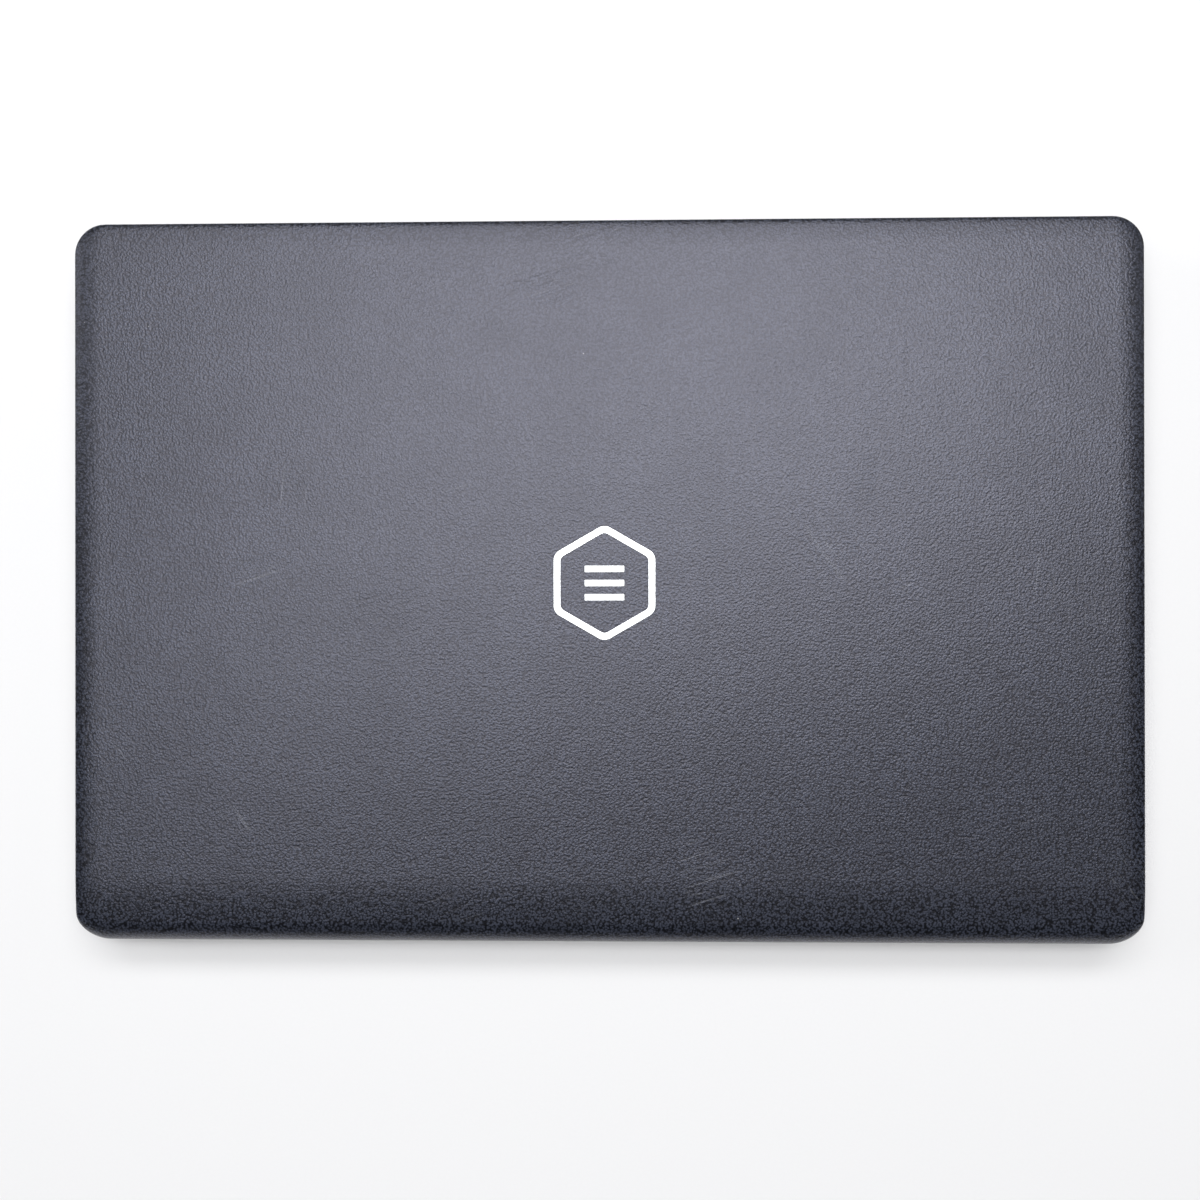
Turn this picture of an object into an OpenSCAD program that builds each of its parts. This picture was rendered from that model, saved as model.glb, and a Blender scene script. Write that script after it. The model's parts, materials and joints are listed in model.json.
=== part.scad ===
// Clamshell laptop computer, 15.6 inch class, closed at rest.
// +X is the user's right, +Y the hinge side, +Z up; the origin is on the table under the middle.

/* [Body] */
// Width of the lid and so of the closed laptop
body_w = 380; // [378:1:384]
// Depth of the closed laptop, front edge to hinge roll
body_d = 258; // [258:1:260]
// Height of the closed laptop, feet included
body_h = 22.7; // [22.7:0.1:23.5]
// Corner radius seen from above
corner_r = 11; // [9:0.5:14]
// Height of the keyboard deck above the table
deck_z = 15; // [15:0.1:15.2]

/* [Lid] */
// Wall thickness of the lid cover
lid_wall = 1.7; // [1.5:0.1:1.8]
// Width of the rolled edge round the lid
roll_w = 10; // [8:0.5:11]
// Drop of the rolled edge round the lid
roll_h = 1.8; // [1.2:0.1:4]
// Radius of the hinge roll along the back
roll_r = 8.6; // [8.5:0.1:8.6]
// Width of the badge across its flats
badge_w = 36; // [30:1:40]

/* [Keyboard] */
// Key pitch across
key_pitch_x = 18.7; // [18.5:0.1:18.75]
// Key pitch front to back
key_pitch_y = 18.05; // [17.8:0.05:18.1]
// Key pitch across on the number pad
pad_pitch = 16.2; // [16:0.1:16.3]
// Space between neighbouring key caps
key_gap = 3.2; // [3:0.1:3.6]
// Travel of each key
key_travel = 1.3; // [1:0.1:1.3]

/* [Touchpad] */
// Width of the touchpad
pad_w = 105; // [95:1:110]
// Depth of the touchpad
pad_d = 80; // [70:1:82]

/* [Hidden] */
$fn = 48;
eps = 0.01;
wide = 500;                       // longer than the laptop, for cuts that run right through
foot_h = 1.2;                     // height of the rubber feet
floor_t = 1.5;                    // thickness of the bottom cover's floor
split_z = 3.6;                    // joint line between bottom cover and top case
case_wall = 1.8;                  // side wall of the top case
deck_t = 1.8;
base_inset = 0.8;                 // the base is this much smaller than the lid, all round
base_w = body_w - 2 * base_inset;
base_d = body_d - 2 * base_inset;
base_r = corner_r - base_inset;
side_x = base_w / 2;              // outer face of the base's side wall
floor_top = foot_h + floor_t;
under_deck = deck_z - deck_t;
axis_y = body_d / 2 - roll_r;     // hinge axis
axis_z = body_h - roll_r;
trough_r = roll_r + 0.7;          // the base's trough round the hinge roll
lip_z = 6;                        // top of the base's rear lip
lid_z = deck_z + 0.4;             // face of the display bezel
rim_z = lid_z + 1.2;              // joint line between bezel and lid cover
lid_in_z = body_h - lid_wall;
roll_in = roll_r - lid_wall;
skin_end = -6;                    // angle, from +Y, where the lid cover's roll stops under the back

// hinges: distances from the middle of the laptop, the same on both sides
cap_x0 = 132;
cap_x1 = 164;
cap_r = 6.2;
neck_z0 = 10.2;
neck_z1 = 13.1;
ear_x0 = 149;                     // the base bracket's ear
ear_t = 3;
shaft_r = 2.5;
shaft_x0 = 142.5;
arm_x = 166;                      // the lid arm's ear
arm_t = 1.6;
arm_z0 = 19.6;
arm_z1 = 20.8;
bracket_z0 = 11.1;
bracket_z1 = 12.3;
arm_screw_y = [-8, 32, 72, 106];
bracket_screws = [[147.5, 94], [157.5, 94], [147.5, 104], [157.5, 104]];

// display
screen_w = 344.2;                 // lit area
screen_d = 193.5;
screen_y0 = -113;                 // its edge nearest the camera
panel_w = 350.7;
panel_y0 = -118.5;
panel_y1 = 88;
panel_z0 = 17.35;
panel_z1 = 20.6;
camera_y = -121;

// keyboard
fn_depth = 11.5;                  // the function row's own pitch, front to back
kb_top = 83;
kb_main_w = 15 * key_pitch_x;
kb_w = kb_main_w + 3 + 4 * pad_pitch;
kb_x0 = -kb_w / 2;
pad_x0 = kb_x0 + kb_main_w + 3;
kb_bottom = kb_top - fn_depth - 5 * key_pitch_y;
cap_z1 = deck_z - 0.05;
plate_z0 = 10.9;
plate_z1 = 11.5;
cap_z0 = plate_z1 + key_travel + 0.1;
lattice_z0 = 13.2;
lattice_z1 = 14;

// touchpad
pad_x = -34;
pad_y1 = -32;                     // rear edge, where it hinges
pad_z0 = 13.7;
pad_z1 = 14.7;

// board and what is on it
board_z0 = 6.6;
board_z1 = 7.8;
port_z0 = 4.2;
port_z1 = 9.9;
port_x = side_x - 0.3;            // face of the sockets, just inside the wall's face
port_d = 14.6;                    // depth of a socket
left_usb_y = [-8, -24];
right_usb_y = 45;
video_y = 32;
lan_y = 12;
lan_z0 = 3.65;
lan_z1 = 11.3;
audio_y = -38;
audio_z = 7;
audio_r = 1.8;
power_y = 100;
power_z = 8.5;
card_y = 18;
light_y = 91.5;
fan_x = -139;
fan_y = 69;
fan_w = 58;
fan_z0 = 3;
fan_z1 = 10;
button_x = 172;
button_y = 97;
button_w = 13;
button_d = 8;

case_screws = [[-120, 106.3], [0, 106.3], [120, 106.3], [-120, -123.2], [0, -123.2], [120, -123.2],
               [-184, -60], [184, -60], [184, 80]];
board_posts = [[-96, 98], [54, 98], [-168, -41], [-66, -41]];

// ---- shared shapes ----

module plan(w, d, r) {
    square([w - 2 * r, d], center = true);
    square([w, d - 2 * r], center = true);
    for (sx = [-1, 1], sy = [-1, 1]) translate([sx * (w / 2 - r), sy * (d / 2 - r)]) circle(r);
}

module slab(w, d, r, z0, z1) {
    translate([0, 0, z0]) linear_extrude(z1 - z0) plan(w, d, r);
}

module block(x0, x1, y0, y1, z0, z1) {
    translate([x0, y0, z0]) cube([x1 - x0, y1 - y0, z1 - z0]);
}

module disc(x, y, z0, z1, r) {
    translate([x, y, z0]) cylinder(h = z1 - z0, r = r);
}

// a flat shape drawn as (Y, Z), run along X from x0 to x1
module along_x(x0, x1) {
    translate([x0, 0, 0]) rotate([90, 0, 90]) linear_extrude(x1 - x0) children();
}

module rod_x(x0, x1, y, z, r) {
    translate([x0, y, z]) rotate([0, 90, 0]) cylinder(h = x1 - x0, r = r);
}

module slot(length, width) {
    square([width, length - width], center = true);
    for (s = [-1, 1]) translate([0, s * (length - width) / 2]) circle(width / 2);
}

// flat wedge from angle a0 to a1 about the origin, large enough to mask the hinge roll
function wedge(a0, a1, r = 30, steps = 8) =
    concat([[0, 0]], [for (i = [0:steps]) let (a = a0 + (a1 - a0) * i / steps) [r * cos(a), r * sin(a)]]);

// both sides of the laptop from one drawn at +X
module both_sides() {
    children();
    mirror([1, 0, 0]) children();
}

// ---- lid ----

// quarter of an ellipse, from the vertical edge to the flat top
function roll_points(w, h, steps = 7) =
    [for (i = [0:steps]) let (a = 90 * i / steps) [w * (1 - cos(a)), h * sin(a)]];

// cross-section of the lid seen from the front, or its inside when in > 0
module lid_section_xz(in, top) {
    half = body_w / 2 - in;
    w = roll_w - in;
    h = roll_h - in * 0.45;
    edge = [for (p = roll_points(w, h)) [p[0] - half, top - h + p[1]]];
    other = [for (i = [len(edge) - 1:-1:0]) [-edge[i][0], edge[i][1]]];
    polygon(concat([[half, 0], [-half, 0]], edge, other));
}

// cross-section of the lid seen from the side: rolled front, flat top, round back
module lid_section_yz(in, top, back_r) {
    front = -body_d / 2 + in;
    w = roll_w - in;
    h = roll_h - in * 0.45;
    edge = [for (p = roll_points(w, h)) [p[0] + front, top - h + p[1]]];
    polygon(concat([[axis_y, rim_z - 4], [front, rim_z - 4]], edge, [[axis_y, top]]));
    translate([axis_y, axis_z]) circle(back_r, $fn = 96);
}

module lid_blank(in) {
    top = body_h - in;
    intersection() {
        slab(body_w - 2 * in, body_d - 2 * in, corner_r - in, 0, body_h + 5);
        rotate([90, 0, 0]) linear_extrude(wide, center = true) lid_section_xz(in, top);
        along_x(-wide / 2, wide / 2) lid_section_yz(in, top, roll_r - in);
    }
}

// the lid cover takes all above the rim and, round the hinge roll, down to skin_end
seam_drop = 30 * tan(skin_end);

module lid_cover_region() {
    rise = rim_z - axis_z;
    translate([axis_y, axis_z])
        polygon([[-wide, rise], [0, rise], [0, 0], [30, seam_drop], [30, 40], [-wide, 40]]);
}

module hinge_cover_region() {
    rise = rim_z - axis_z;
    translate([axis_y, axis_z]) intersection() {
        circle(roll_r, $fn = 96);
        polygon([[-30, rise], [-30, -30], [30, -30], [30, seam_drop], [0, 0], [0, rise]]);
    }
}

// hexagon with rounded corners, a corner on the Y axis
function badge_points(flats, r) =
    [for (corner = [30:60:330], turn = [-30:10:30])
        let (reach = (flats / 2 - r) / cos(30))
        [reach * cos(corner) + r * cos(corner + turn), reach * sin(corner) + r * sin(corner + turn)]];

// a hexagonal ring round three bars, grown for the recess it sits in
module badge_mark(grow) {
    difference() {
        polygon(badge_points(badge_w + 2 * grow, 4 + grow));
        polygon(badge_points(badge_w - 4.8 - 2 * grow, 2.4 - grow));
    }
    for (i = [-1, 0, 1]) translate([0, i * 5]) square([14 + 2 * grow, 2.2 + 2 * grow], center = true);
}

module lid_cover() color("darkslategray") {
    difference() {
        intersection() {
            lid_blank(0);
            along_x(-wide / 2, wide / 2) lid_cover_region();
        }
        lid_blank(lid_wall);
        translate([0, 0, body_h - 0.6]) linear_extrude(1) badge_mark(0.12);
        both_sides() for (y = arm_screw_y) disc(180, y, arm_z1, lid_in_z + 0.9, 0.85);
    }
    both_sides() for (y = arm_screw_y) difference() {
        disc(180, y, arm_z1, lid_in_z + 0.1, 2.2);
        disc(180, y, arm_z1 - 1, lid_in_z + 1, 0.85);
    }
}

module lid_badge() color("gainsboro")
    translate([0, 0, body_h - 0.6]) linear_extrude(0.6) badge_mark(0);

module display_bezel() color("#202124") difference() {
    intersection() {
        slab(body_w - 0.5, body_d - 0.5, corner_r - 0.25, lid_z, rim_z);
        block(-wide, wide, -wide, axis_y - roll_r - 0.1, 0, 60);
    }
    block(-screen_w / 2, screen_w / 2, screen_y0, screen_y0 + screen_d, 0, 60);
    disc(0, camera_y, 0, 60, 2.6);
    disc(5.5, camera_y, 0, 60, 0.7);
    for (x = [-32, 32]) disc(x, camera_y, 0, 60, 0.5);
}

module hinge_cover() color("#1b1c1e") difference() {
    intersection() {
        slab(body_w, body_d, corner_r, 0, 40);
        along_x(-wide / 2, wide / 2) hinge_cover_region();
    }
    intersection() {
        slab(body_w - 2 * lid_wall, body_d - 2 * lid_wall, corner_r - lid_wall, -1, 41);
        rod_x(-wide / 2, wide / 2, axis_y, axis_z, roll_in);
    }
    both_sides() along_x(cap_x0 - 1, cap_x1 + 1) translate([axis_y, axis_z]) polygon(wedge(181, 365));
}

module display_panel() color("silver") difference() {
    block(-panel_w / 2, panel_w / 2, panel_y0, panel_y1, panel_z0, panel_z1);
    block(-screen_w / 2 - 1, screen_w / 2 + 1, screen_y0 - 1, screen_y0 + screen_d + 1, 0, panel_z0 + 0.5);
}

module display_glass() color("#0b0d10")
    block(-screen_w / 2 - 0.9, screen_w / 2 + 0.9, screen_y0 - 0.9, screen_y0 + screen_d + 0.9,
          panel_z0 - 0.35, panel_z0 + 0.45);

module panel_board() color("seagreen") {
    block(-135, 135, panel_y1 + 0.3, panel_y1 + 9, 18.6, 19.6);
    block(-75, -45, panel_y1 + 2, panel_y1 + 7.5, 17.3, 18.6);
    for (x = [-110, -20, 30, 80, 112]) block(x, x + 12, panel_y1 + 1.5, panel_y1 + 7, 17.7, 18.6);
}

module camera_module() color("seagreen") {
    block(-40, 40, camera_y - 2.2, camera_y + 2.2, 18.2, 19);
    disc(0, camera_y, 17.1, 18.2, 2.1);
    disc(5.5, camera_y, 17.3, 18.2, 0.6);
    for (x = [-32, 32]) block(x - 1.5, x + 1.5, camera_y - 1.2, camera_y + 1.2, 17.3, 18.2);
}

module camera_window() color("#101418") {
    disc(0, camera_y, lid_z + 0.3, rim_z + 0.3, 2.5);
    disc(5.5, camera_y, lid_z + 0.3, rim_z + 0.3, 0.6);
}

module antennas() color("goldenrod") for (x = [-120, 90]) {
    block(x, x + 42, -125.5, -120, 18.2, 18.7);
    block(x + 12, x + 20, -124, -121.5, 17.6, 18.2);
}

module hinge_ear(x0, x1, r, bore) difference() {
    rod_x(x0, x1, axis_y, axis_z, r);
    rod_x(x0 - 1, x1 + 1, axis_y, axis_z, bore);
}

// the lid's steel arm: an ear on the shaft, turned flat up the side of the display
module hinge_arm() difference() {
    union() {
        rod_x(arm_x, arm_x + arm_t, axis_y, axis_z, 5.4);
        intersection() {
            rod_x(arm_x, arm_x + arm_t, axis_y, axis_z, 6.6);
            block(arm_x, arm_x + arm_t, 112, axis_y, axis_z, 20.4);
        }
        block(arm_x, arm_x + arm_t, 100, 116, 17.3, 20.6);
        block(arm_x, 182.5, 100, 112, arm_z0, arm_z1);
        block(177, 182.5, -20, 112, arm_z0, arm_z1);
        block(177, 178, -20, 99, 18.6, arm_z1);
    }
    rod_x(arm_x - 1, arm_x + arm_t + 1, axis_y, axis_z, shaft_r + 0.03);
    for (y = arm_screw_y) disc(180, y, 15, 25, 1.1);
}

module hinge_arm_right() color("gray") hinge_arm();
module hinge_arm_left() color("gray") mirror([1, 0, 0]) hinge_arm();

module hinge_shafts() color("silver") both_sides() {
    rod_x(shaft_x0, arm_x + arm_t + 0.8, axis_y, axis_z, shaft_r);
    difference() {
        rod_x(arm_x - 0.9, arm_x - 0.05, axis_y, axis_z, 3.1);
        rod_x(arm_x - 2, arm_x + 1, axis_y, axis_z, shaft_r - 0.2);
    }
}

module hinge_washers() color("gray") both_sides() {
    for (x = [146.1, 147.1, 148.1]) hinge_ear(x, x + 0.8, 4.4, shaft_r + 0.05);
    hinge_ear(ear_x0 + ear_t + 0.1, ear_x0 + ear_t + 1, 4.4, shaft_r + 0.05);
}

module hinge_nuts() color("dimgray") both_sides() difference() {
    translate([143, axis_y, axis_z]) rotate([0, 90, 0]) cylinder(h = 3, r = 4.6, $fn = 6);
    rod_x(142, 147, axis_y, axis_z, shaft_r + 0.03);
}

module small_screw(x, y, z, up, length, r) {
    difference() {
        disc(x, y, up > 0 ? z - 0.6 : z, up > 0 ? z : z + 0.6, 1.7);
        disc(x, y, up > 0 ? z - 1 : z + 0.3, up > 0 ? z - 0.3 : z + 1, 0.7, $fn = 24);
    }
    disc(x, y, up > 0 ? z - eps : z - length, up > 0 ? z + length : z + eps, r);
}

module lid_screws() color("#3c3d40")
    both_sides() for (y = arm_screw_y) small_screw(180, y, arm_z0, 1, 1.9, 0.8);

module bezel_bumpers() color("#141414") {
    for (x = [-150, 150], y = [-124.3, 40]) disc(x * (y > 0 ? 1.21 : 1), y, lid_z - 0.34, lid_z, 2.4);
    for (x = [-60, 60]) disc(x, -124.3, lid_z - 0.34, lid_z, 2.4);
}

module display_cable_lid() color("#26282c") {
    rod_x(-cap_x0 + 0.2, -98, axis_y, axis_z, 1.3);
    translate([-99, axis_y - 0.2, axis_z]) sphere(1.5);
    block(-100.2, -97.8, 99, axis_y, 17.2, 18.4);
    block(-100.2, -97.8, axis_y - 1.2, axis_y + 1.2, axis_z, 18.4);
    block(-100.2, -72, 97.2, 99.4, 17.2, 18.4);
}

// ---- base: shells ----

module base_section_yz() {
    half = base_d / 2;
    c = 0.5;
    polygon([[-half + 2.6, foot_h], [half - 2.6, foot_h], [half - 0.8, foot_h + 0.8],
             [half, split_z - 0.2], [half, deck_z], [-half + c, deck_z], [-half, deck_z - c],
             [-half, split_z - 0.2], [-half + 0.8, foot_h + 0.8]]);
}

module base_section_xz() {
    half = side_x;
    c = 0.5;
    polygon([[-half + 2.6, foot_h], [half - 2.6, foot_h], [half - 0.8, foot_h + 0.8],
             [half, split_z - 0.2], [half, deck_z - c], [half - c, deck_z], [-half + c, deck_z],
             [-half, deck_z - c], [-half, split_z - 0.2], [-half + 0.8, foot_h + 0.8]]);
}

module base_blank(z0, z1) intersection() {
    slab(base_w, base_d, base_r, z0, z1);
    rotate([90, 0, 0]) linear_extrude(wide, center = true) base_section_xz();
    along_x(-wide / 2, wide / 2) base_section_yz();
}

// everything the lid's hinge roll sweeps through
module trough() {
    rod_x(-wide / 2, wide / 2, axis_y, axis_z, trough_r, $fn = 96);
    block(-wide / 2, wide / 2, axis_y, wide / 2, lip_z, 60);
}

module port_window(side, y, z0, z1, w) {
    x = side * side_x;
    block(x - 3, x + 3, y - w / 2, y + w / 2, z0, z1);
}

module wall_openings() {
    for (y = left_usb_y) port_window(-1, y, port_z0 - 0.15, port_z1 + 0.15, 13.7);
    port_window(1, right_usb_y, port_z0 - 0.15, port_z1 + 0.15, 13.7);
    port_window(-1, video_y, port_z0 - 0.15, port_z1 + 0.15, 15.5);
    port_window(-1, lan_y, split_z - eps, lan_z1 + 0.15, 16.3);
    port_window(1, card_y, 5.7, 8.5, 25.6);
    rod_x(-side_x - 3, -side_x + 3, audio_y, audio_z, 3.1);
    rod_x(-side_x - 3, -side_x + 3, power_y, power_z, 4.1);
    rod_x(-side_x - 3, -side_x + 3, light_y, power_z, 0.95);
    for (y = [47.5:3:92]) if (y < 90) port_window(-1, y, 4.6, 11, 1.7);
    translate([side_x, 95, 8.5]) rotate([0, 90, 0]) linear_extrude(9, center = true) slot(7, 3);
}

module top_case() color("#26282c") {
    difference() {
        union() {
            difference() {
                base_blank(split_z, deck_z);
                slab(base_w - 2 * case_wall, base_d - 2 * case_wall, base_r - case_wall, 0, under_deck);
            }
            intersection() {
                base_blank(split_z, deck_z);
                rod_x(-wide / 2, wide / 2, axis_y, axis_z, trough_r + 1.5, $fn = 96);
            }
            // rib round the keyboard opening, which carries the lattice and the key plate
            translate([0, (kb_top + kb_bottom) / 2, plate_z1]) linear_extrude(under_deck - plate_z1)
                difference() {
                    square([kb_w + 7, kb_top - kb_bottom + 7], center = true);
                    square([kb_w - 1, kb_top - kb_bottom - 1], center = true);
                }
            for (p = case_screws) disc(p[0], p[1], floor_top, under_deck + eps, 2.5);
            for (p = board_posts) disc(p[0], p[1], board_z1, under_deck + eps, 2.4);
            both_sides() for (p = bracket_screws) disc(p[0], p[1], bracket_z1, under_deck + eps, 2.6);
        }
        trough();
        wall_openings();
        block(-kb_w / 2 - 1.35, kb_w / 2 + 1.35, kb_bottom - 1.35, kb_top + 1.35, under_deck, 60);
        block(pad_x - pad_w / 2 - 0.4, pad_x + pad_w / 2 + 0.4, pad_y1 - pad_d - 0.4, pad_y1 + 0.4, 0, 60);
        translate([button_x, button_y, 0]) linear_extrude(60) plan(button_w + 0.4, button_d + 0.4, 1.7);
        both_sides() block(cap_x0 + 0.8, cap_x1 - 0.8, 107, 114, neck_z0 - 0.1, neck_z1 + 0.1);
        for (p = case_screws) disc(p[0], p[1], 0, 9, 1);
        for (p = board_posts) disc(p[0], p[1], 0, 11, 0.85);
        both_sides() for (p = bracket_screws) disc(p[0], p[1], 0, 14.2, 0.85);
    }
}

module bottom_cover() color("#1c1d20") difference() {
    base_blank(foot_h, split_z);
    slab(base_w - 2 * case_wall, base_d - 2 * case_wall, base_r - case_wall, floor_top, 20);
    for (i = [0:9]) translate([fan_x + (i - 4.5) * 5.2, fan_y, 0])
        linear_extrude(10) slot(44, 2.2);
    both_sides() for (i = [0:6]) translate([142 + i * 5.5, -111, 0]) linear_extrude(10) slot(11, 1.8);
    for (i = [0:5]) translate([-10 + i * 12, 58, 0]) linear_extrude(10) rotate(90) slot(9, 1.8);
    for (p = case_screws) {
        disc(p[0], p[1], 0, 10, 1.1);
        disc(p[0], p[1], 0, foot_h + 0.8, 2.4);
    }
    feet_outline(0.1, foot_h + 0.6);
}

module feet_outline(grow, top) {
    translate([0, 117, 0]) linear_extrude(top) rotate(90) slot(290 + 2 * grow, 7 + 2 * grow);
    both_sides() translate([98, -113.5, 0]) linear_extrude(top) rotate(90) slot(62 + 2 * grow, 6 + 2 * grow);
}

module feet() color("#101010") feet_outline(0, foot_h + 0.6);

module bottom_screws() color("#3c3d40") for (p = case_screws) {
    difference() {
        disc(p[0], p[1], foot_h + 0.05, foot_h + 0.8, 2.2);
        for (a = [0, 90]) translate([p[0], p[1], foot_h]) rotate(a) cube([2.4, 0.5, 1], center = true);
    }
    disc(p[0], p[1], foot_h + 0.79, 8, 0.9);
}

// ---- base: hinge side ----

// steel bracket under the deck, with the ear that carries the hinge shaft
module hinge_bracket() difference() {
    union() {
        block(144, 161, 89.5, 109, bracket_z0, bracket_z1);
        block(ear_x0 - 3.5, ear_x0 + ear_t + 5, 108, axis_y - 5.2, bracket_z0, bracket_z1);
        block(ear_x0, ear_x0 + ear_t, 114, axis_y - 3, bracket_z0, bracket_z1);
        hinge_ear(ear_x0, ear_x0 + ear_t, 4.6, shaft_r + 0.05);
    }
    rod_x(ear_x0 - 5, ear_x0 + ear_t + 6, axis_y, axis_z, shaft_r + 0.05);
    for (p = bracket_screws) disc(p[0], p[1], 5, 15, 1.1);
}

module hinge_bracket_right() color("gray") hinge_bracket();
module hinge_bracket_left() color("gray") mirror([1, 0, 0]) hinge_bracket();

module hinge_cap() difference() {
    union() {
        rod_x(cap_x0, cap_x1, axis_y, axis_z, cap_r);
        block(cap_x0 + 1, cap_x1 - 1, 109.6, 117, neck_z0, neck_z1);
    }
    rod_x(cap_x0 + 1.2, cap_x1 - 1.2, axis_y, axis_z, 5.2);
    block(cap_x0 + 2.2, cap_x1 - 2.2, 109, axis_y - 2, neck_z0 + 0.6, neck_z1 - 0.5);
    rod_x(cap_x1 - 2, cap_x1 + 1, axis_y, axis_z, 3.3);
    rod_x(cap_x0 - 1, cap_x0 + 2, axis_y, axis_z, 2);
}

module hinge_caps() color("#141517") both_sides() hinge_cap();

// the display cable, from the left cap down through its neck to the board
module display_cable_base() color("#26282c") {
    x = -cap_x0 - 0.2;
    rod_x(x - 5, x, axis_y, axis_z, 1.3);
    block(x - 7, x - 4.2, axis_y - 1.2, axis_y + 1.2, 11, axis_z + 1);
    block(x - 7, x - 4.2, 107.4, axis_y + 1.2, 11, 12);
    block(x - 7, x - 4.2, 99.6, 107.6, 9, 12);
    block(x - 7, -99, 99.6, 101.8, 9, 10);
    block(-101.5, -99, 93, 101.8, 9, 10);
    block(-101.5, -99, 93, 95.5, board_z1, 9 + eps);
}

module inner_screws() color("#3c3d40") {
    both_sides() for (p = bracket_screws) small_screw(p[0], p[1], bracket_z0, 1, 2.9, 0.8);
    for (p = board_posts) small_screw(p[0], p[1], board_z0, 1, 4, 0.8);
}

// ---- keyboard ----

// running total of a list's first n entries
function sum_to(list, n) = n == 0 ? 0 : list[n - 1] + sum_to(list, n - 1);

row_widths = [
    [for (i = [0:15]) 15 / 16],
    [1, 1, 1, 1, 1, 1, 1, 1, 1, 1, 1, 1, 1, 2],
    [1.5, 1, 1, 1, 1, 1, 1, 1, 1, 1, 1, 1, 1, 1.5],
    [1.75, 1, 1, 1, 1, 1, 1, 1, 1, 1, 1, 1, 2.25],
    [2.25, 1, 1, 1, 1, 1, 1, 1, 1, 1, 1, 2.75],
    [1.5, 1, 1, 1, 5, 1, 1.5]
];

function row_y(row) = row == 0 ? kb_top - fn_depth : kb_top - fn_depth - row * key_pitch_y;
function row_depth(row) = row == 0 ? fn_depth : key_pitch_y;

// each key is [x, y, width, depth] of its cell; the cap is key_gap smaller
function cells(row) = [for (i = [0:len(row_widths[row]) - 1])
    [kb_x0 + sum_to(row_widths[row], i) * key_pitch_x, row_y(row),
     row_widths[row][i] * key_pitch_x, row_depth(row)]];

half_d = (key_pitch_y - key_gap - 1) / 2 + key_gap;
arrow_x = kb_x0 + 12 * key_pitch_x;
arrow_cells = [[arrow_x, row_y(5), key_pitch_x, key_pitch_y],
               [arrow_x + key_pitch_x, row_y(5), key_pitch_x, half_d],
               [arrow_x + key_pitch_x, row_y(5) + key_pitch_y - half_d, key_pitch_x, half_d],
               [arrow_x + 2 * key_pitch_x, row_y(5), key_pitch_x, key_pitch_y]];

function pad_cell(column, row, w = 1, rows = 1) =
    [pad_x0 + column * pad_pitch, row_y(row), w * pad_pitch, row == 0 ? fn_depth : rows * key_pitch_y];

pad_cells = concat([for (c = [0:3]) pad_cell(c, 1)],
                   [for (r = [2:4], c = [0:2]) pad_cell(c, r)],
                   [pad_cell(3, 3, 1, 2), pad_cell(3, 5, 1, 2), pad_cell(0, 5, 2), pad_cell(2, 5)]);

function without(list, n) = [for (i = [0:len(list) - 1]) if (i != n) list[i]];

function_cells = concat(cells(0), [for (c = [0:3]) pad_cell(c, 0)]);
bottom_cells = concat(without(cells(5), 4), arrow_cells);
space_cells = [cells(5)[4]];
all_cells = concat(function_cells, cells(1), cells(2), cells(3), cells(4), bottom_cells, space_cells,
                   pad_cells);

function cell_centre(c) = [c[0] + c[2] / 2, c[1] + c[3] / 2];

module key_cap(c) translate(cell_centre(c)) {
    w = c[2] - key_gap;
    d = c[3] - key_gap;
    difference() {
        slab(w, d, 1.2, cap_z0, cap_z1);
        translate([0, 0, cap_z0 - 1]) linear_extrude(2.15) square([w - 2, d - 2], center = true);
    }
}

module keys(list) color("#17181a") for (c = list) key_cap(c);

module function_keys() keys(function_cells);
module number_keys() keys(cells(1));
module upper_keys() keys(cells(2));
module home_keys() keys(cells(3));
module lower_keys() keys(cells(4));
module bottom_keys() keys(bottom_cells);
module space_bar() keys(space_cells);
module keypad_keys() keys(pad_cells);

module keyboard_lattice() color("#1d1e21")
    translate([0, 0, lattice_z0]) linear_extrude(lattice_z1 - lattice_z0) difference() {
        translate([0, (kb_top + kb_bottom) / 2])
            square([kb_w + 2.5, kb_top - kb_bottom + 2.5], center = true);
        for (c = all_cells) translate(cell_centre(c))
            square([c[2] - key_gap + 0.8, c[3] - key_gap + 0.8], center = true);
    }

module keyboard_plate() color("silver") difference() {
    block(-kb_w / 2 - 3.2, kb_w / 2 + 3.2, kb_bottom - 3.2, kb_top + 3.2, plate_z0, plate_z1);
    block(-wide, -166, lan_y - 9, lan_y + 9, 0, 60);
}

module key_domes() color("#4a4c50") for (c = all_cells) translate(concat(cell_centre(c), plate_z1))
    if (c[0] > -170 || abs(cell_centre(c)[1] - lan_y) > 10)
        cylinder(h = 1.1, r1 = 2.1, r2 = 1.5);

// ---- touchpad, power button ----

module touchpad() color("#232528") {
    translate([pad_x, pad_y1 - pad_d / 2, 0]) slab(pad_w, pad_d, 2, pad_z0, pad_z1);
    block(pad_x - pad_w / 2 + 3, pad_x + pad_w / 2 - 3, pad_y1 - pad_d + 3, pad_y1 - 3,
          pad_z0 - 1, pad_z0 + eps);
    disc(pad_x, pad_y1 - pad_d + 9, pad_z0 - 1.7, pad_z0 - 1 + eps, 2.5);
}

module power_button() color("#232528") translate([button_x, button_y, 0]) {
    slab(button_w, button_d, 1.5, 13.1, deck_z - 0.05);
    slab(button_w + 1.6, button_d + 1.6, 1.5, 12.6, 13.1 + eps);
}

// ---- inside the base ----

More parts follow.
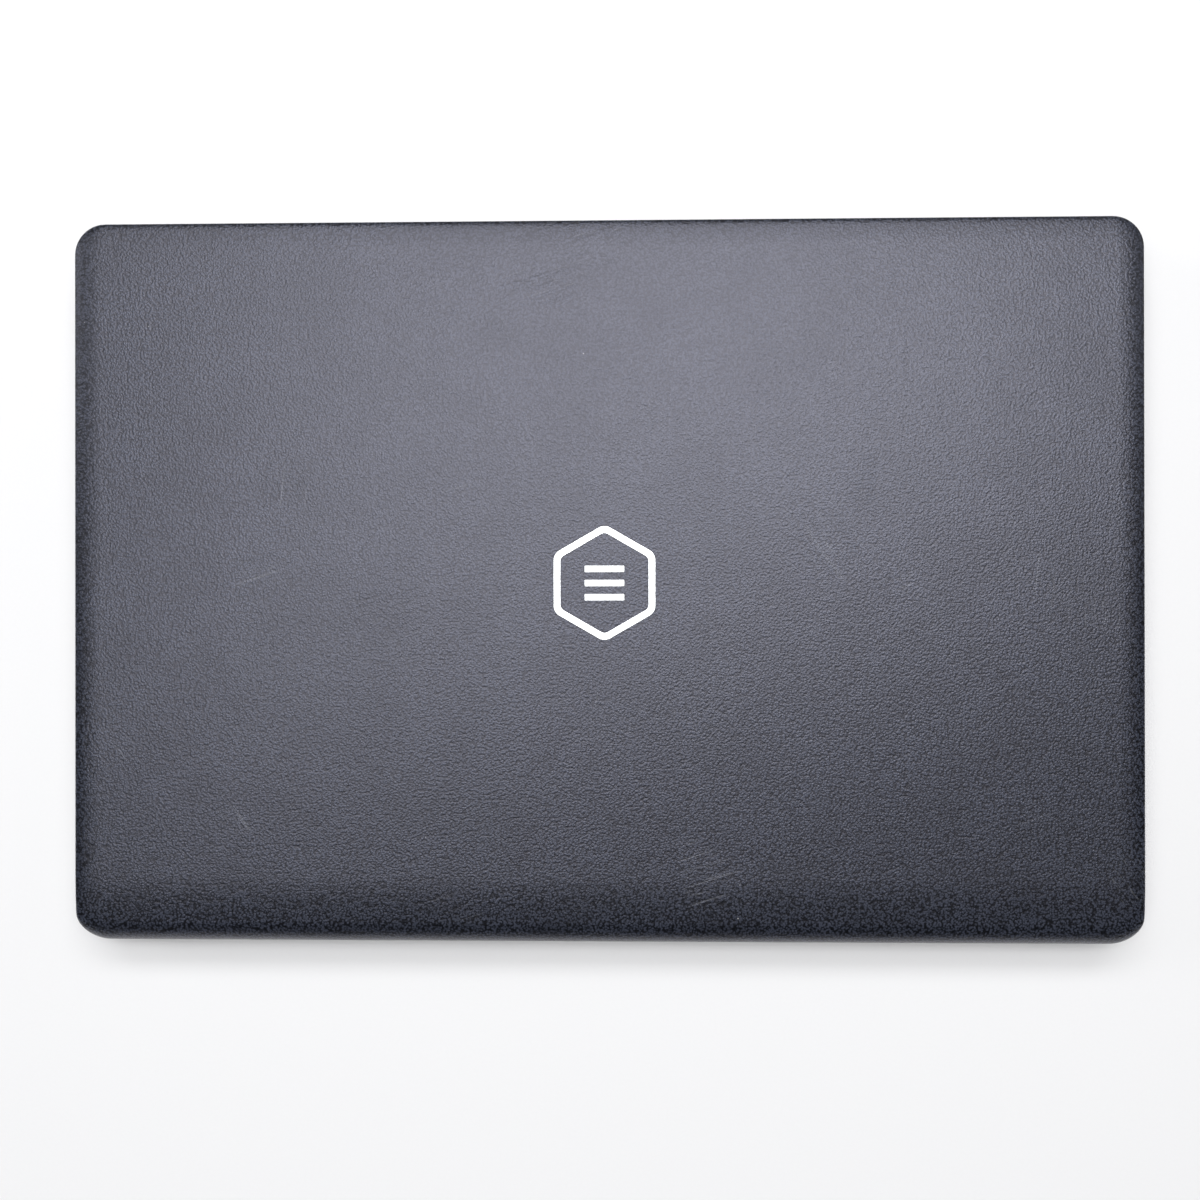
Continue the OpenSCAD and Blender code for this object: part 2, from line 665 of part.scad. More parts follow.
module motherboard() color("seagreen") {
    difference() {
        translate([0, 0, board_z0]) linear_extrude(board_z1 - board_z0)
            polygon([[-173.8, -46], [-60, -46], [-60, -18], [60, -18], [60, 102.5], [-102, 102.5],
                     [-102, 39], [-173.8, 39], [-173.8, lan_y + 9], [-168, lan_y + 9],
                     [-168, lan_y - 9], [-173.8, lan_y - 9]]);
        for (p = board_posts) disc(p[0], p[1], 0, 20, 1.1);
    }
    block(-76, -46, 42, 70, 5.4, board_z0 + eps);                       // processor
    for (p = [[-90, 10], [-40, 20], [10, 10], [40, 84], [-20, 86]])     // chips on top
        block(p[0], p[0] + 11, p[1], p[1] + 9, board_z1 - eps, board_z1 + 1.1);
    for (i = [0:5]) block(-86 + i * 9, -80 + i * 9, 78, 84, board_z1 - eps, board_z1 + 1.8);
    for (y = [27, 62]) block(-31, 41, y, y + 5, 3.4, board_z0 + eps);   // memory sockets
    block(-27, -22, -15, 9, 4.2, board_z0 + eps);                       // storage socket
    block(-104, -98, -42, -18, 4.2, board_z0 + eps);                    // wireless socket
    block(-60, -40, -17, -12, board_z1 - eps, board_z1 + 1.2);          // ribbon sockets
}

module heat_pipe() color("peru") {
    block(-80, -42, 40, 72, 4.4, 5.35);
    block(-64, -58, 44, 103, 3, 4.4);
    block(-178, -58, 98.8, 103, 3, 4.4);
    block(-182, -177, 46, 103, 3, 4.4);
}

module heat_fins() color("silver") {
    for (i = [0:23]) block(-185.5, -170, 45.5 + i * 2, 45.9 + i * 2, 4.4, 9.6);
    block(-185.5, -170, 45.5, 91.9, 9.6 - eps, 10);
}

module fan_housing() color("#1a1a1c") difference() {
    union() {
        difference() {
            block(fan_x - fan_w / 2, fan_x + fan_w / 2, fan_y - fan_w / 2, fan_y + fan_w / 2, fan_z0, fan_z1);
            disc(fan_x, fan_y, fan_z0 + 0.8, fan_z1 - 0.8, 27);
            block(fan_x - fan_w / 2 - 1, fan_x, fan_y - 23, fan_y + 27, fan_z0 + 0.8, fan_z1 - 0.8);
            difference() {
                disc(fan_x, fan_y, 0, fan_z0 + 1, 19);
                disc(fan_x, fan_y, -1, 10, 9);
                for (a = [30, 150, 270]) translate([fan_x, fan_y, 0]) rotate(a)
                    block(0, 20, -1.2, 1.2, 0, 10);
            }
        }
        disc(fan_x, fan_y, fan_z0 + 0.7, fan_z1 - 1.6, 1);
    }
    disc(fan_x, fan_y, fan_z1 - 1, 20, 12);
}

module fan_rotor() color("#2b2d30") difference() {
    union() {
        disc(fan_x, fan_y, 4.3, 8.7, 11);
        for (i = [0:28]) translate([fan_x, fan_y, 0]) rotate(i * 360 / 29)
            translate([10.2, 0, 4.4]) rotate(24) cube([15, 0.5, 4.2]);
    }
    disc(fan_x, fan_y, 0, 8.5, 1.05);
    difference() {
        disc(fan_x, fan_y, 0, 7.6, 9.8);
        disc(fan_x, fan_y, -1, 9, 2.6);
    }
}

module battery() color("#1a1b1d") {
    block(-112, 95, -118.6, -52, 3.2, 9.2);
    for (i = [0:2]) block(-108 + i * 67, -45 + i * 67, -117, -60, 9.2 - eps, 9.5);
    block(-20, 8, -52 - eps, -48.2, 4.5, 7.5);
}

module hard_drive() color("silver") {
    block(104, 173.85, -100, 0.2, 3.1, 9.6);
    disc(139, -38, 9.6 - eps, 10, 30);
    block(112, 146, 0.2 - eps, 5, 3.4, 8);
}

module solid_state_drive() color("seagreen") {
    block(-21.9, 58.1, -14, 8, 5, 5.8);
    for (x = [-16, 2, 20, 38]) block(x, x + 14, -11, 5, 3.8, 5 + eps);
}

module memory_modules() color("seagreen") for (y = [32.2, 67.2]) {
    block(-29.8, 39.8, y, y + 27, 4.4, 5.3);
    for (i = [0:3]) block(-27 + i * 17, -14 + i * 17, y + 8, y + 18, 3.5, 4.4 + eps);
}

module wireless_card() color("seagreen") {
    block(-98.5 + 0.7, -69, -41, -19, 5, 5.8);
    block(-94, -73, -39, -21, 3.6, 5 + eps);
    for (y = [-27, -36]) disc(-71, y, 3.9, 5 + eps, 1.1);
}

module clock_battery() color("silver") {
    disc(-130, -24, 3.3, 6.3, 10);
    block(-140.5, -119.5, -26, -22, 2.9, 3.3 + eps);
}

module speakers() color("#1c1c1e") both_sides() {
    block(137, 182, -120.5, -103.5, 3.1, 9);
    translate([159.5, -112, 2.8]) linear_extrude(0.4) plan(34, 11, 5.4);
}

module daughter_boards() color("seagreen") {
    block(150, 173.8, 4, 70, board_z0, board_z1);
    block(152, 164, 58, 64, board_z1 - eps, board_z1 + 2);
    block(166, 178.5, 92, 102, 10.2, 11);
    block(169.5, 174.5, 94.5, 99.5, 11 - eps, 11.8);
}

// ---- sockets ----

// an outer shell open towards the wall, drawn with its mouth at x = 0 and its depth along -X
module socket_shell(w, h, d, wall) difference() {
    translate([-d, -w / 2, 0]) cube([d, w, h]);
    translate([-d + wall, -w / 2 + wall, wall]) cube([d, w - 2 * wall, h - 2 * wall]);
}

module usb_socket() {
    h = port_z1 - port_z0;
    socket_shell(13.2, h, port_d, 0.4);
    translate([-port_d + 0.3, -5.5, h - 2.6]) cube([10.5, 11, 1.9]);
}

module usb_ports() color("silver") {
    for (y = left_usb_y) translate([-port_x, y, port_z0]) mirror([1, 0, 0]) usb_socket();
    translate([port_x, right_usb_y, port_z0]) usb_socket();
}

module video_port() color("silver") translate([-port_x, video_y, port_z0]) mirror([1, 0, 0]) {
    h = port_z1 - port_z0;
    socket_shell(15, h, port_d, 0.4);
    translate([-port_d + 0.3, -5.8, h / 2 - 0.5]) cube([9, 11.6, 1]);
    for (s = [-1, 1]) translate([-2.4, s * 6.5 - 0.7, 0.3]) cube([2.3, 1.4, 1.2]);
}

module network_port() color("#1b1b1b") difference() {
    block(-port_x, -168.6, lan_y - 8, lan_y + 8, lan_z0, lan_z1);
    block(-port_x - 1, -174, lan_y - 5.95, lan_y + 5.95, 4.3, 10.9);
    block(-port_x - 1, -174, lan_y - 3.1, lan_y + 3.1, 3.95, 4.4);
}

module audio_jack() color("#151515") difference() {
    union() {
        block(-side_x + 2.2, -175, audio_y - 3.2, audio_y + 3.2, port_z0, port_z1);
        rod_x(-side_x - 0.2, -side_x + 2.3, audio_y, audio_z, 3);
    }
    rod_x(-side_x - 1, -side_x + 12, audio_y, audio_z, audio_r);
}

module power_jack() color("#151515") {
    difference() {
        union() {
            block(-side_x + 2.2, -176, power_y - 5, power_y + 5, 4.6, 12.4);
            rod_x(-side_x - 0.1, -side_x + 2.3, power_y, power_z, 3.9);
        }
        rod_x(-side_x - 1, -side_x + 10, power_y, power_z, 2.8);
    }
    rod_x(-side_x + 1.5, -side_x + 10.1, power_y, power_z, 0.5);
}

module card_slot() color("silver") difference() {
    block(163, port_x, card_y - 12.6, card_y + 12.6, 5.9, 8.3);
    block(164, port_x + 1, card_y - 12.1, card_y + 12.1, 6.25, 7.95);
    block(160, 174, card_y - 13, card_y + 13, board_z0 - 0.1, board_z1 + 0.1);
}

module status_light() color("white") {
    rod_x(-side_x, -side_x + 3.5, light_y, power_z, 0.85);
}

// ---- the nodes ----

lid_cover();
lid_badge();
display_bezel();
hinge_cover();
display_panel();
display_glass();
panel_board();
camera_module();
camera_window();
antennas();
hinge_arm_left();
hinge_arm_right();
hinge_shafts();
hinge_washers();
hinge_nuts();
lid_screws();
bezel_bumpers();
display_cable_lid();
bottom_cover();
top_case();
hinge_bracket_left();
hinge_bracket_right();
hinge_caps();
display_cable_base();
inner_screws();
keyboard_lattice();
keyboard_plate();
key_domes();
motherboard();
heat_pipe();
heat_fins();
fan_housing();
battery();
hard_drive();
solid_state_drive();
memory_modules();
wireless_card();
clock_battery();
speakers();
daughter_boards();
usb_ports();
video_port();
network_port();
audio_jack();
power_jack();
card_slot();
status_light();
feet();
bottom_screws();
fan_rotor();
power_button();
touchpad();
function_keys();
number_keys();
upper_keys();
home_keys();
lower_keys();
bottom_keys();
space_bar();
keypad_keys();
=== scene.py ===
# %% [markdown]
# # A closed laptop, dressed round its CAD frame
#
# The CAD model already holds every part at its true size and place. This lesson gives it its looks:
# the moulded lid with its rolled edge, the keys with their printed legends, the screen, the ports and
# the rubber feet. A part whose CAD shape is right keeps it and only gets a finish. A part that needs
# softer edges is copied, welded and bevelled, or modelled again, and the new piece stands in for it.

import json
import math

import bmesh
import bpy
from mathutils import Matrix, Vector


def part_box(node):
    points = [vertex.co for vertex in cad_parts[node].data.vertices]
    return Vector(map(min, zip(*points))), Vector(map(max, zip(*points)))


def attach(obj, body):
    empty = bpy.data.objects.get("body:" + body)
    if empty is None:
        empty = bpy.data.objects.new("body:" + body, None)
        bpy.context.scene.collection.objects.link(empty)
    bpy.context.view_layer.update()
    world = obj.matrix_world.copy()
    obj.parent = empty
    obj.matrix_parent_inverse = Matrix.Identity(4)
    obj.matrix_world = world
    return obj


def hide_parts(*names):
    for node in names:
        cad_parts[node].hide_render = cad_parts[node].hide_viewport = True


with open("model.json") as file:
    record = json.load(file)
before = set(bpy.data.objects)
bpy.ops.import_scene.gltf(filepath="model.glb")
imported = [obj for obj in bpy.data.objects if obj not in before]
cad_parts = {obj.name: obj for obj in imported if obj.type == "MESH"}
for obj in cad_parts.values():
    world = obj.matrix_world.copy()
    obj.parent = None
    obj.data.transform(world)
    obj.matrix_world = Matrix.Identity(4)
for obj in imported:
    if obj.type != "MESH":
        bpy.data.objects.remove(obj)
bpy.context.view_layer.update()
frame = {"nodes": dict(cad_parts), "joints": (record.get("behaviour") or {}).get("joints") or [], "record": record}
nodes = frame["nodes"]
MM = 0.001

# %% [markdown]
# ## Camera
#
# The laptop is seen from straight above by someone standing at its hinge side, so the top of the view
# is the laptop's front edge, -Y, and the right of the view is -X. A wide lens close to the lid gives
# the slight widening of the nearer side; the small tilt leans the camera over that side.

# %% Camera
lid_low, lid_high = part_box("lid_cover")
lid_size = lid_high - lid_low
camera_place = Vector((-8.08 * MM, 6.7 * MM, lid_high.z + 424.5 * MM))
camera_aim = Vector((1.68 * MM, 6.0 * MM, 18.5 * MM))
camera_roll = math.radians(-0.072)

camera_data = bpy.data.cameras.new("camera")
camera_data.lens = 36
camera_data.sensor_width = 36
camera = bpy.data.objects.new("camera", camera_data)
bpy.context.scene.collection.objects.link(camera)
bpy.context.scene.camera = camera

back = (camera_place - camera_aim).normalized()
side = Vector((0, -1, 0)).cross(back).normalized()
turned = Matrix((side, back.cross(side), back)).transposed()
turned = turned @ Matrix.Rotation(camera_roll, 3, "Z")
camera.matrix_world = Matrix.Translation(camera_place) @ turned.to_4x4()
print("camera is", round(camera_place.z - lid_high.z, 3), "m above the lid")

# %% [markdown]
# ## Selecting, editing and finishing a piece
#
# Blender's operators act on whatever is selected, so each step first selects one object alone. Inside
# edit mode, faces, edges and corners are chosen in code by where they are. A finished piece keeps its
# place in its mesh, with its object at the origin, and rides on the CAD body it belongs to.

# %% Helpers for pieces
def alone(piece):
    """Select one object and make it the active one."""
    bpy.ops.object.select_all(action="DESELECT")
    piece.select_set(True)
    bpy.context.view_layer.objects.active = piece


def edit(piece):
    alone(piece)
    bpy.ops.object.mode_set(mode="EDIT")


def leave_edit():
    bpy.ops.object.mode_set(mode="OBJECT")


def pick(piece, kind, wanted):
    """In edit mode, select the faces, edges or verts for which wanted() is true."""
    bpy.ops.mesh.select_mode(type={"faces": "FACE", "edges": "EDGE", "verts": "VERT"}[kind])
    bpy.ops.mesh.select_all(action="DESELECT")
    mesh = bmesh.from_edit_mesh(piece.data)
    for item in getattr(mesh, kind):
        if wanted(item):
            item.select_set(True)
    bmesh.update_edit_mesh(piece.data)


def apply(piece, kind, **settings):
    """Add a modifier and apply it."""
    modifier = piece.modifiers.new(kind.lower(), kind)
    for key, value in settings.items():
        setattr(modifier, key, value)
    alone(piece)
    bpy.ops.object.modifier_apply(modifier=modifier.name)


def smooth(piece, angle=35):
    alone(piece)
    bpy.ops.object.shade_smooth_by_angle(angle=math.radians(angle))
    apply(piece, "WEIGHTED_NORMAL", keep_sharp=True)


def soften(piece, width_mm, segments=2, angle=35):
    """Round every edge sharper than angle."""
    apply(piece, "BEVEL", width=width_mm * MM, segments=segments, limit_method="ANGLE",
          angle_limit=math.radians(angle), use_clamp_overlap=True, miter_outer="MITER_ARC")
    smooth(piece, angle)


def block(low, high):
    """A cube primitive between two corners."""
    low, high = Vector(low), Vector(high)
    bpy.ops.mesh.primitive_cube_add(size=1, location=(low + high) / 2)
    piece = bpy.context.object
    piece.scale = high - low
    bpy.ops.object.transform_apply(location=True, rotation=True, scale=True)
    return piece


def welded_copy(node, whole_faces=False):
    """A CAD node's copy with its loose triangles welded. A flat face without holes can be made whole."""
    piece = bpy.data.objects.new(node + "_look", nodes[node].data.copy())
    bpy.context.scene.collection.objects.link(piece)
    edit(piece)
    bpy.ops.mesh.select_all(action="SELECT")
    bpy.ops.mesh.customdata_custom_splitnormals_clear()
    bpy.ops.mesh.remove_doubles(threshold=1e-6)
    if whole_faces:
        bpy.ops.mesh.dissolve_limited(angle_limit=math.radians(0.5))
    leave_edit()
    return piece


def join(pieces):
    bpy.ops.object.select_all(action="DESELECT")
    for piece in pieces:
        piece.select_set(True)
    bpy.context.view_layer.objects.active = pieces[0]
    bpy.ops.object.join()
    return pieces[0]


def finish_piece(piece, name, body, material, replaces=()):
    """Name a piece, give it its finish, and let it ride on its body."""
    alone(piece)
    bpy.ops.object.transform_apply(location=True, rotation=True, scale=True)
    piece.name = name
    piece.data.materials.clear()
    piece.data.materials.append(material)
    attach(piece, body)
    if replaces:
        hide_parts(*replaces)
    print(f"{name}: {len(piece.data.polygons)} faces on {body}")
    return piece


# %% [markdown]
# ## Shader tools
#
# Each finish is a Principled shader fed by noise and cell patterns in object space, so that a pattern
# keeps its true size in millimetres. What several finishes share, such as the moulded grain, is a
# node group that gives out only heights and masks; the shader itself stays in each material.

# %% Helpers for nodes
def plug(tree, value, socket):
    """Link a socket, or set a plain value."""
    if isinstance(value, bpy.types.NodeSocket):
        tree.links.new(value, socket)
    else:
        socket.default_value = value


def add(tree, kind, inputs=None, **settings):
    node = tree.nodes.new("ShaderNode" + kind)
    for key, value in settings.items():
        setattr(node, key, value)
    for key, value in (inputs or {}).items():
        plug(tree, value, node.inputs[key])
    return node


def calc(tree, operation, *values):
    node = add(tree, "Math", operation=operation)
    for value, socket in zip(values, node.inputs):
        plug(tree, value, socket)
    return node.outputs[0]


def blend_colour(tree, amount, first, second):
    node = add(tree, "Mix", data_type="RGBA")
    plug(tree, amount, node.inputs["Factor"])
    plug(tree, (*first, 1) if isinstance(first, tuple) else first, node.inputs["A"])
    plug(tree, (*second, 1) if isinstance(second, tuple) else second, node.inputs["B"])
    return node.outputs["Result"]


def between(tree, value, low, high):
    """0 below low, 1 above high, and a smooth step in between."""
    node = add(tree, "MapRange", {"From Min": low, "From Max": high}, interpolation_type="SMOOTHSTEP")
    plug(tree, value, node.inputs["Value"])
    return node.outputs["Result"]


def new_group(name, inputs, outputs):
    group = bpy.data.node_groups.new(name, "ShaderNodeTree")
    for label, kind, default in inputs:
        socket = group.interface.new_socket(name=label, in_out="INPUT", socket_type="NodeSocket" + kind)
        if default is not None:
            socket.default_value = default
    for label in outputs:
        group.interface.new_socket(name=label, in_out="OUTPUT", socket_type="NodeSocketFloat")
    return group, group.nodes.new("NodeGroupInput"), group.nodes.new("NodeGroupOutput")


def use_group(tree, group, inputs):
    node = tree.nodes.new("ShaderNodeGroup")
    node.node_tree = group
    for key, value in inputs.items():
        plug(tree, value, node.inputs[key])
    return node


# %% [markdown]
# A moulded surface copies the etched steel of its mould: rounded pebbles a fraction of a millimetre
# across, with no two alike. Smooth cells give the pebbles, and a little noise breaks them up.

# %% Moulded grain group
moulded_grain, entry, leave = new_group(
    "moulded grain", [("Vector", "Vector", None), ("Pebble", "Float", 0.8 * MM)], ["Height", "Patch"])
rate = calc(moulded_grain, "DIVIDE", 1.0, entry.outputs["Pebble"])
scaled = add(moulded_grain, "VectorMath", {"Scale": rate}, operation="SCALE")
plug(moulded_grain, entry.outputs["Vector"], scaled.inputs[0])
cells = add(moulded_grain, "TexVoronoi", {"Vector": scaled.outputs[0], "Scale": 1.0, "Smoothness": 0.6},
            feature="SMOOTH_F1")
crumbs = add(moulded_grain, "TexNoise", {"Vector": scaled.outputs[0], "Scale": 1.7, "Detail": 3.0})
patches = add(moulded_grain, "TexNoise", {"Vector": scaled.outputs[0], "Scale": 0.035, "Detail": 2.0})
nearness = calc(moulded_grain, "SUBTRACT", 1.0, cells.outputs["Distance"])
pebbles = calc(moulded_grain, "MULTIPLY", nearness, 0.6)
height = calc(moulded_grain, "MULTIPLY_ADD", crumbs.outputs["Fac"], 0.55, pebbles)
plug(moulded_grain, height, leave.inputs["Height"])
plug(moulded_grain, patches.outputs["Fac"], leave.inputs["Patch"])
print("group:", moulded_grain.name)

# %% [markdown]
# Years of sliding in and out of bags leave hairline scratches in a few directions, in patches. Noise
# that is stretched a great deal gives long streaks; only its mid-level line is kept, and a second,
# broad noise says where the patches are. Three directions are made and the strongest is shown.

# %% Scratches group
scratches, entry, leave = new_group(
    "hairline scratches", [("Vector", "Vector", None), ("Amount", "Float", 0.5)], ["Mask"])
lines = []
for turn, across, seed in ((18, 620, 0.0), (-52, 540, 3.7), (84, 700, 8.1)):
    turned = add(scratches, "Mapping", vector_type="TEXTURE")
    plug(scratches, entry.outputs["Vector"], turned.inputs["Vector"])
    turned.inputs["Rotation"].default_value = (0, 0, math.radians(turn))
    turned.inputs["Location"].default_value = (seed * MM, -seed * MM, 0)
    turned.inputs["Scale"].default_value = (1 / 9, 1 / across, 1 / across)
    streak = add(scratches, "TexNoise", {"Vector": turned.outputs[0], "Scale": 1.0, "Detail": 1.0})
    offset = calc(scratches, "ABSOLUTE", calc(scratches, "SUBTRACT", streak.outputs["Fac"], 0.5))
    thin = calc(scratches, "SUBTRACT", 1.0, between(scratches, offset, 0.0, 0.012))
    moved = add(scratches, "VectorMath", operation="ADD")
    plug(scratches, entry.outputs["Vector"], moved.inputs[0])
    moved.inputs[1].default_value = (seed, -seed, seed)
    where = add(scratches, "TexNoise", {"Vector": moved.outputs[0], "Scale": 26.0, "Detail": 1.0})
    lines.append(calc(scratches, "MULTIPLY", thin, between(scratches, where.outputs["Fac"], 0.66, 0.76)))
crossed = calc(scratches, "MAXIMUM", lines[0], calc(scratches, "MAXIMUM", lines[1], lines[2]))
plug(scratches, calc(scratches, "MULTIPLY", crossed, entry.outputs["Amount"]), leave.inputs["Mask"])
print("group:", scratches.name)

# %% [markdown]
# Dust and tiny chips are bright dots a few tenths of a millimetre across. One cell in several holds
# one, and its size differs from cell to cell.

# %% Specks group
specks, entry, leave = new_group(
    "specks", [("Vector", "Vector", None), ("Spacing", "Float", 9 * MM), ("Reach", "Float", 0.03)], ["Mask"])
rate = calc(specks, "DIVIDE", 1.0, entry.outputs["Spacing"])
scaled = add(specks, "VectorMath", {"Scale": rate}, operation="SCALE")
plug(specks, entry.outputs["Vector"], scaled.inputs[0])
cells = add(specks, "TexVoronoi", {"Vector": scaled.outputs[0], "Scale": 1.0})
chance = add(specks, "SeparateColor")
plug(specks, cells.outputs["Color"], chance.inputs[0])
chosen = between(specks, chance.outputs[0], 0.62, 0.66)
limit = calc(specks, "MULTIPLY", entry.outputs["Reach"], calc(specks, "ADD", 0.5, chance.outputs[1]))
from_centre = calc(specks, "DIVIDE", cells.outputs["Distance"], limit)
inside = calc(specks, "SUBTRACT", 1.0, between(specks, from_centre, 0.6, 1.2))
plug(specks, calc(specks, "MULTIPLY", chosen, inside), leave.inputs["Mask"])
print("node groups:", [group.name for group in bpy.data.node_groups])

# %% [markdown]
# ## Finishes
#
# Colours are given as they look on a screen and turned into light values once. Most of a laptop is
# one kind of plastic in several textures, so one function makes them all: the lid's coarse satin
# grain, the finer deck, the nearly black bezel and the smooth touchpad.

# %% Plastic
def screen_colour(red, green, blue):
    """Light values of a colour given in 0 to 255, as seen on a screen."""
    return tuple((c / 12.92 if c <= 0.04045 else ((c + 0.055) / 1.055) ** 2.4)
                 for c in (red / 255, green / 255, blue / 255))


def new_material(name):
    material = bpy.data.materials.new(name)
    material.use_nodes = True
    tree = material.node_tree
    shader = tree.nodes["Principled BSDF"]
    where = add(tree, "TexCoord").outputs["Object"]
    return material, tree, shader, where


def plastic(name, dark, light, roughness, pebble_mm, depth_mm, scratch=0.15, speck=0.0, spread=0.03,
            specular=0.5, band=(0.2, 0.75)):
    """Moulded plastic: painted shade in the grain's valleys and a painted highlight on its tops, with faint wear.
    """
    material, tree, shader, where = new_material(name)
    grain = use_group(tree, moulded_grain, {"Vector": where, "Pebble": pebble_mm * MM})
    worn = use_group(tree, scratches, {"Vector": where, "Amount": scratch}).outputs["Mask"]
    # The grain's tops get the light tone as a painted highlight, and its valleys the dark tone as painted shade.
    painted_top_highlight = between(tree, grain.outputs["Height"], *band)
    colour = blend_colour(tree, painted_top_highlight, dark, light)
    patch = between(tree, grain.outputs["Patch"], 0.3, 0.7)
    colour = blend_colour(tree, calc(tree, "MULTIPLY", patch, 0.25), colour, dark)
    colour = blend_colour(tree, calc(tree, "MULTIPLY", worn, 0.5), colour, (0.32, 0.33, 0.35))
    if speck:
        dots = use_group(tree, specks, {"Vector": where, "Spacing": 11 * MM, "Reach": 0.022}).outputs["Mask"]
        colour = blend_colour(tree, calc(tree, "MULTIPLY", dots, speck), colour, (0.5, 0.5, 0.52))
    plug(tree, colour, shader.inputs["Base Color"])
    rough = calc(tree, "MULTIPLY_ADD", patch, spread, roughness - spread / 2)
    rough = calc(tree, "MULTIPLY_ADD", worn, -0.1, rough)
    plug(tree, rough, shader.inputs["Roughness"])
    shader.inputs["Specular IOR Level"].default_value = specular
    bump = add(tree, "Bump", {"Strength": 1.0, "Distance": depth_mm * MM})
    plug(tree, calc(tree, "MULTIPLY_ADD", worn, -0.4, grain.outputs["Height"]), bump.inputs["Height"])
    plug(tree, bump.outputs["Normal"], shader.inputs["Normal"])
    return material


# The lid's grain carries the strongest painted highlight: a light bluish grey on the grain tops over a nearly
# black base, with painted shade in the valleys.
lid_finish = plastic("lid_plastic", screen_colour(8, 9, 13), screen_colour(56, 60, 72), 0.3, 0.8, 0.14,
                     scratch=0.35, speck=0.55, spread=0.015, specular=0.7, band=(0.48, 0.72))
lid_finish.node_tree.nodes["Principled BSDF"].inputs["Specular Tint"].default_value = (0.85, 0.85, 1.0, 1)
case_finish = plastic("case_plastic", screen_colour(38, 40, 44), screen_colour(50, 52, 57), 0.48, 0.45, 0.03)
bottom_finish = plastic("bottom_plastic", screen_colour(26, 27, 30), screen_colour(38, 39, 42), 0.55, 0.9,
                        0.09)
black_finish = plastic("black_plastic", screen_colour(18, 18, 20), screen_colour(27, 27, 29), 0.42, 0.4,
                       0.02)
dark_finish = plastic("dark_plastic", screen_colour(26, 27, 30), screen_colour(37, 38, 42), 0.45, 0.5, 0.03)
key_finish = plastic("key_plastic", screen_colour(20, 20, 22), screen_colour(31, 31, 34), 0.4, 0.3, 0.015,
                     scratch=0.05)
pad_finish = plastic("pad_plastic", screen_colour(36, 37, 41), screen_colour(44, 45, 49), 0.34, 0.25, 0.008)
panel_finish = plastic("panel_frame", screen_colour(185, 187, 190), screen_colour(205, 207, 209), 0.5, 0.6,
                       0.02)
wrap_finish = plastic("battery_wrap", screen_colour(22, 22, 24), screen_colour(32, 32, 35), 0.38, 1.4, 0.03)
cable_finish = plastic("cable_jacket", screen_colour(20, 20, 22), screen_colour(34, 34, 37), 0.5, 0.35, 0.03)
rubber_finish = plastic("soft_rubber", screen_colour(17, 17, 18), screen_colour(29, 29, 30), 0.72, 0.5, 0.04,
                        scratch=0.1, specular=0.3)
light_finish = plastic("light_pipe", screen_colour(205, 210, 214), screen_colour(232, 236, 238), 0.25, 0.3,
                       0.004)
legend_finish = plastic("legend_ink", screen_colour(196, 198, 200), screen_colour(226, 227, 228), 0.5, 0.2,
                        0.002, scratch=0.0)
print("plastics:", len(bpy.data.materials))

# %% [markdown]
# Metals come next. Rolled and drawn sheet carries fine parallel lines, so noise is stretched along
# one axis; the lines change both the roughness and the height a little. Tarnish is a broad, faint
# change of colour. The same function makes the steel hinges, the screws, the sockets and the badge.

# %% Metal
def metal(name, colour, roughness, lines_mm, depth_mm, tarnish=0.15, metallic=1.0):
    material, tree, shader, where = new_material(name)
    stretched = add(tree, "Mapping", {"Vector": where})
    stretched.inputs["Scale"].default_value = (40, 1 / (lines_mm * MM), 1 / (lines_mm * MM))
    lines = add(tree, "TexNoise", {"Vector": stretched.outputs[0], "Scale": 1.0, "Detail": 2.0})
    broad = add(tree, "TexNoise", {"Vector": where, "Scale": 90.0, "Detail": 4.0})
    dull = tuple(c * 0.6 for c in colour)
    amount = calc(tree, "MULTIPLY", between(tree, broad.outputs["Fac"], 0.35, 0.75), tarnish)
    plug(tree, blend_colour(tree, amount, colour, dull), shader.inputs["Base Color"])
    shader.inputs["Metallic"].default_value = metallic
    rough = calc(tree, "MULTIPLY_ADD", lines.outputs["Fac"], 0.18, roughness - 0.09)
    plug(tree, rough, shader.inputs["Roughness"])
    bump = add(tree, "Bump", {"Strength": 0.6, "Distance": depth_mm * MM})
    plug(tree, lines.outputs["Fac"], bump.inputs["Height"])
    plug(tree, bump.outputs["Normal"], shader.inputs["Normal"])
    return material


badge_finish = metal("badge_metal", screen_colour(226, 228, 230), 0.3, 0.12, 0.004, tarnish=0.1)
hinge_finish = metal("hinge_steel", screen_colour(150, 150, 153), 0.38, 0.15, 0.01)
screw_finish = metal("screw_steel", screen_colour(58, 58, 62), 0.4, 0.2, 0.006, metallic=0.85)
sheet_finish = metal("bright_aluminium", screen_colour(206, 208, 210), 0.4, 0.2, 0.01)
drive_finish = metal("drive_aluminium", screen_colour(190, 192, 196), 0.5, 0.5, 0.02)
socket_finish = metal("socket_steel", screen_colour(176, 176, 180), 0.33, 0.15, 0.006)
cell_finish = metal("cell_steel", screen_colour(200, 200, 202), 0.3, 0.1, 0.006)
copper_finish = metal("copper", screen_colour(196, 118, 78), 0.36, 0.2, 0.012, tarnish=0.5)
foil_finish = metal("copper_foil", screen_colour(188, 122, 72), 0.3, 0.15, 0.006, tarnish=0.4)
contact_finish = metal("contact_gold", screen_colour(224, 178, 92), 0.28, 0.1, 0.003)
print("plastics and metals:", len(bpy.data.materials))

# %% [markdown]
# A circuit board is green lacquer over copper tracks, with black packages on it. The tracks are a
# brick pattern broken up by noise; what stands above or hangs below the laminate is a package, so
# height alone decides where the board turns black.

